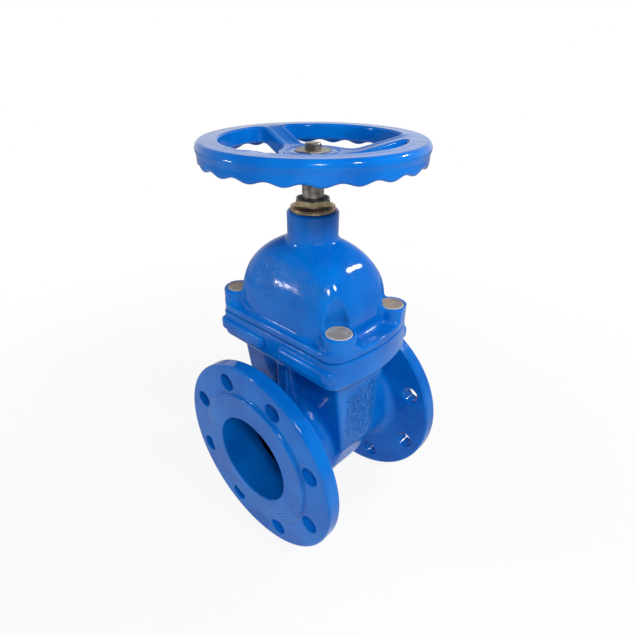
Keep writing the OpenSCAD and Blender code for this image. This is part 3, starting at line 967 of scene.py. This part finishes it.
def turnedMetal(name):  # metal with fine rings round the stem axis
    stained, clean, rough, lines = metalLook[name]
    p = metalGrain
    finish = Finish(name)
    away = ((finish.x - stemX) ** 2 + finish.y ** 2) ** 0.5
    ringed = finish.make("ShaderNodeCombineXYZ", {}, {"X": away, "Z": finish.z})
    fine = finish.noise(p["lineSize"], rough=0.6, at=ringed)
    cloud = finish.noise(p["cloudSize"], detail=3)
    stain = finish.ramp(finish.noise(p["stainSize"], detail=3), 0.48, 0.7)
    share = finish.ramp(cloud, 0.35, 0.65) * 0.6 + stain * 0.4
    finish.tint(finish.blend(share, clean, stained))
    finish.set(Metallic=1.0, Roughness=rough + 0.15 * cloud + 0.1 * stain)
    finish.relief(lines * fine)
    return finish


brassStain = {
    "colour": (0.36, 0.17, 0.06, 1),
    "share": 0.8,
    "rise": (-1.4, -0.4),  # from the top of the gland's foot
    "fall": (1, 2),
}


def brassFinish():  # brass with an orange stain in the corner over the gland's foot
    p = brassStain
    brass = turnedMetal("turnedBrass")
    overFoot = brass.z - (bonnetHigh[2] + glandSize["footHigh"])
    brass.mark(brass.between(overFoot, p["rise"], p["fall"]) * p["share"], p["colour"])
    return brass.material


rubberLook = {  # dark and light
    "gateRubber": ((0.009, 0.009, 0.010, 1), (0.02, 0.02, 0.022, 1)),
    "wiperRubber": ((0.012, 0.009, 0.007, 1), (0.035, 0.027, 0.02, 1)),
    "jointRubber": ((0.001, 0.03, 0.15, 1), (0.002, 0.045, 0.22, 1)),  # painted over
}
rubberGrain = {"bloomSize": 9, "bloomHigh": 0.1, "grainSize": 0.8, "grainHigh": 0.03}


def rubberFinish(name):
    dark, light = rubberLook[name]
    p = rubberGrain
    rubber = Finish(name)
    bloom = rubber.noise(p["bloomSize"], detail=3)
    grain = rubber.noise(p["grainSize"])
    rubber.tint(rubber.blend(rubber.ramp(bloom, 0.35, 0.7), dark, light))
    rubber.set(Roughness=0.42 + 0.25 * grain)
    rubber.relief(p["grainHigh"] * grain + p["bloomHigh"] * bloom)
    return rubber.material


ironLook = {
    "dark": (0.05, 0.048, 0.045, 1),
    "light": (0.13, 0.12, 0.11, 1),
    "sandSize": 1.5,
    "sandHigh": 0.3,
}


def castFinish():  # bare iron, as it left the sand
    p = ironLook
    iron = Finish("castCore")
    sand = iron.noise(p["sandSize"], detail=4)
    iron.tint(iron.blend(sand, p["dark"], p["light"]))
    iron.set(Metallic=0.6, Roughness=0.55 + 0.2 * sand)
    iron.relief(p["sandHigh"] * sand)
    return iron.material


plasticLook = {"dark": (0.7, 0.68, 0.6, 1), "light": (0.8, 0.78, 0.72, 1), "cloudSize": 4}


def plasticFinish():
    p = plasticLook
    plastic = Finish("thrustPlastic")
    cloud = plastic.noise(p["cloudSize"])
    plastic.tint(plastic.blend(cloud, p["dark"], p["light"]))
    plastic.set(Roughness=0.35 + 0.2 * cloud)
    return plastic.material


zinc = turnedMetal("zincPlate").material
made = {
    body: bodyPaint(),
    bonnet: bonnetPaint(),
    wheel: wheelPaint(),
    gland: brassFinish(),
    wiper: rubberFinish("wiperRubber"),
    bolt: turnedMetal("boltBronzed").material,
    washer: zinc,
}
for piece, material in made.items():
    piece.data.materials.append(material)

kept = {  # the nodes that are shown as they come
    "stem": turnedMetal("groundStainless").material,
    "stem_nut": turnedMetal("nutBronze").material,
    "bonnet_gasket": rubberFinish("jointRubber"),
    "gate_rubber": rubberFinish("gateRubber"),
    "gate_core": castFinish(),
    "thrust_ring": plasticFinish(),
}
kept.update({"bonnet_screw_%d" % k: zinc for k in (1, 2, 3, 4)})
for name, material in kept.items():
    for holder in nodes[name].material_slots:
        holder.material = material
print("finishes done")

# Camera: its place is measured from the point where the stem's axis meets the pipe's.
cameraPlace = {
    "from": (-307.2, -292.0, 374.6),
    "turnDeg": -46.1,  # anticlockwise from straight across the pipe
    "tiltDeg": 31.74,  # down from the level
    "lens": 26.352,
    "filmWide": 36,
    "shiftX": 0.01166,
    "shiftY": 0.03055,
}


def outward(turnDeg, riseDeg):  # a direction, by its turn round the stem and rise over the level
    turn = math.radians(turnDeg)
    rise = math.radians(riseDeg)
    return Vector((math.cos(rise) * math.cos(turn), math.cos(rise) * math.sin(turn), math.sin(rise)))


camera = bpy.data.cameras.new("camera")
cameraObject = shown("camera", camera)
ahead = outward(90 + cameraPlace["turnDeg"], -cameraPlace["tiltDeg"])
cameraObject.location = (Vector((stemX, 0, 0)) + Vector(cameraPlace["from"])) / mm
cameraObject.rotation_euler = ahead.to_track_quat("-Z", "Y").to_euler()
camera.sensor_width = cameraPlace["filmWide"]
camera.lens = cameraPlace["lens"]
camera.shift_x = cameraPlace["shiftX"]
camera.shift_y = cameraPlace["shiftY"]
camera.clip_start = 0.01
scene.camera = cameraObject

lamps = {  # turn round the stem and rise over the level in degrees, metres away, metres wide, watts
    "frontLeft": (-130, 36, 0.85, 0.12, 3.1),
    "frontRight": (-92, 38, 0.85, 0.12, 3.1),
    "low": (-127, -19, 0.7, 0.7, 0.6),
    "rightWindow": (-31, 32, 1.5, 0.085, 6.5),
    "leftWindow": (140.2, 4.4, 1.54, 0.1, 3.4),
    "leftPane": (145.5, 4.5, 1.51, 0.09, 2.8),
}
aim = Vector((stemX, 0, bonnetHigh[2])) / mm
for name, (turnDeg, riseDeg, away, wide, watts) in lamps.items():
    lamp = bpy.data.lights.new(name, "AREA")
    lamp.shape = "DISK"
    lamp.size = wide
    lamp.energy = watts
    lampObject = shown(name, lamp)
    ray = outward(turnDeg, riseDeg)
    lampObject.location = aim + away * ray
    lampObject.rotation_euler = (-ray).to_track_quat("-Z", "Y").to_euler()

# Surroundings: white to the camera, and in reflections dim above and bright behind the valve.
surroundings = {
    "fill": 0.24,  # what reaches a matt surface
    "above": 0.14,
    "front": 0.24,
    "behind": 1.0,
    "turnStart": -0.3,  # front passes to behind between these: -1 is the camera's side, 1 the far one
    "turnEnd": 0.7,
    "levelTop": 0.12,  # and that passes to above between these: 0 is level, 1 overhead
    "levelEnd": 0.75,
}


def lightSurroundings(world):
    p = surroundings
    world.use_nodes = True
    sky = Graph(world.node_tree)
    x, y, up = sky.apart(sky.make("ShaderNodeTexCoord", {}, {}, "Generated"))
    turn = math.radians(cameraPlace["turnDeg"])
    ahead = x * -math.sin(turn) + y * math.cos(turn)
    behind = sky.ramp(ahead, p["turnStart"], p["turnEnd"])
    level = p["front"] + (p["behind"] - p["front"]) * behind
    seen, mirrored = sky.rays()
    gloss = p["above"] + (level - p["above"]) * sky.ramp(up, p["levelEnd"], p["levelTop"])
    strength = seen + (1 - seen) * (mirrored * gloss + (1 - mirrored) * p["fill"])
    white = sky.make("ShaderNodeBackground", {}, {"Color": (1, 1, 1, 1), "Strength": strength})
    sky.make("ShaderNodeOutputWorld", {}, {"Surface": white})


scene.world = bpy.data.worlds.new("studio")
lightSurroundings(scene.world)

# Floor: pale with the valve's shadow near it, and further off white to the camera.
floorLook = {
    "colour": (0.9, 0.9, 0.9, 1),
    "near": 0.87,  # the share of plain white next to the valve
    "from": 0.3,  # metres from the origin
    "to": 0.9,
    "mirrored": 0.15,  # how much of that white shows in reflections
    "halfWide": 4.0,
}


def floorFinish():
    p = floorLook
    material = bpy.data.materials.new("paleFloor")
    material.use_nodes = True
    pale = Graph(material.node_tree)
    seen, mirrored = pale.rays()
    direct = seen.most(mirrored * p["mirrored"])
    own = pale.make("ShaderNodeTexCoord", {}, {}, "Object")
    away = pale.make("ShaderNodeVectorMath", {"operation": "LENGTH"}, {0: own}, "Value")
    share = p["near"] + (1 - p["near"]) * pale.ramp(away, p["from"], p["to"])
    matt = pale.make("ShaderNodeBsdfDiffuse", {}, {"Color": p["colour"]})
    glow = pale.make("ShaderNodeEmission", {}, {"Color": (1, 1, 1, 1), "Strength": 1.0})
    laid = pale.make("ShaderNodeMixShader", {}, {0: direct * share, 1: matt, 2: glow})
    pale.make("ShaderNodeOutputMaterial", {}, {"Surface": laid})
    return material


floorMesh = bpy.data.meshes.new("floor")
far = floorLook["halfWide"]
corners = [(-far, -far), (far, -far), (far, far), (-far, far)]
floorMesh.from_pydata([(a, b, bodyLow[2] / mm) for a, b in corners], [], [(0, 1, 2, 3)])
floorMesh.materials.append(floorFinish())
floor = shown("floor", floorMesh)
scene.view_settings.view_transform = "Standard"
print("stage done")
